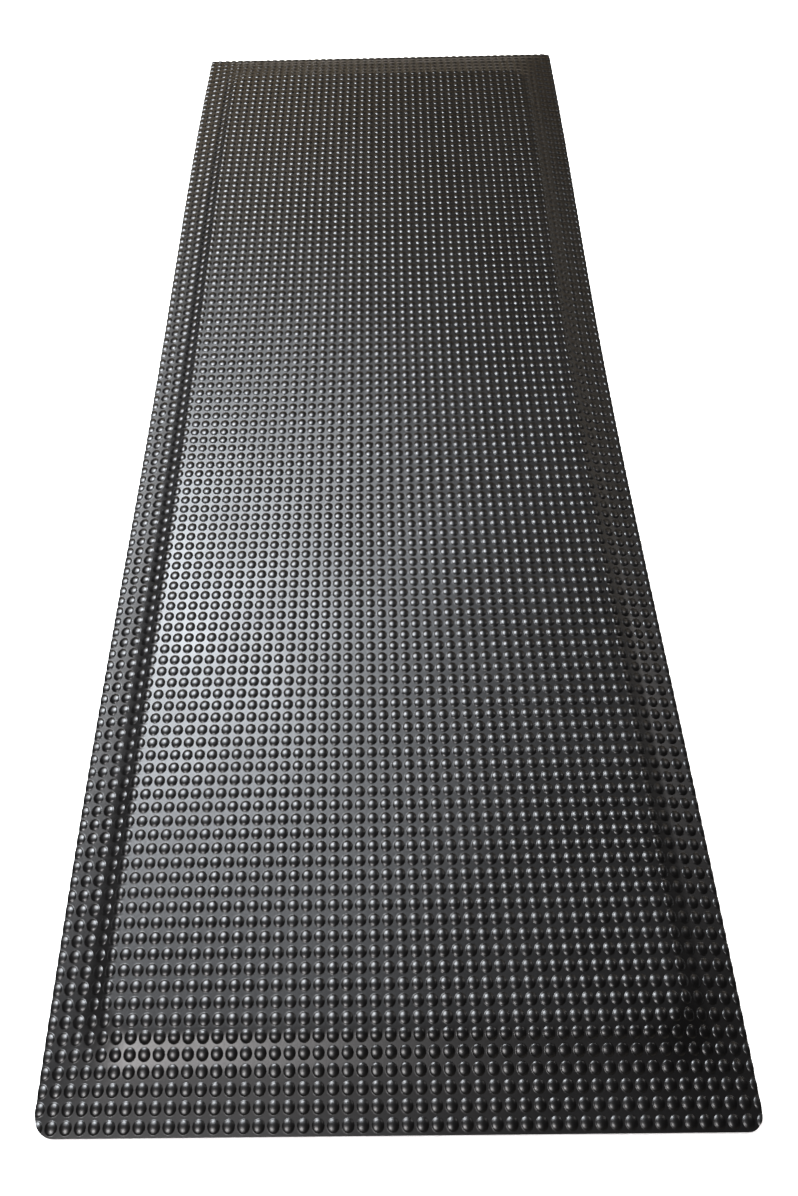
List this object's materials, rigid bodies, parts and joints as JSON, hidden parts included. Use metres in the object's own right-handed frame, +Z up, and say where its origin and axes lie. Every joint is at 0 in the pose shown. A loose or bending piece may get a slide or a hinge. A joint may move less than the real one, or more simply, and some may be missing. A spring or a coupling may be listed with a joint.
{
  "type": "anti-fatigue mat",
  "caption": "Rectangular anti-fatigue standing mat: a dome-embossed vinyl top sheet over a soft foam core with bevelled edges and a thin non-slip base.",
  "frame": {"origin": "on the floor, under the middle of the mat", "axes": "+X across the mat to the right, +Y along its length away from the near end, +Z up"},
  "size_m": [0.6096, 1.524, 0.0159],
  "materials": {
    "top_vinyl": "semi-gloss black vinyl with a fine grain",
    "foam": "matte charcoal closed-cell foam",
    "base_vinyl": "matte black ribbed non-slip vinyl",
    "bond_film": "dull translucent adhesive"
  },
  "bodies": {
    "root": {"base_sheet": "base_vinyl", "base_bond_film": "bond_film", "foam_core": "foam", "top_bond_film": "bond_film", "dome_top_sheet": "top_vinyl"}
  },
  "joints": []
}
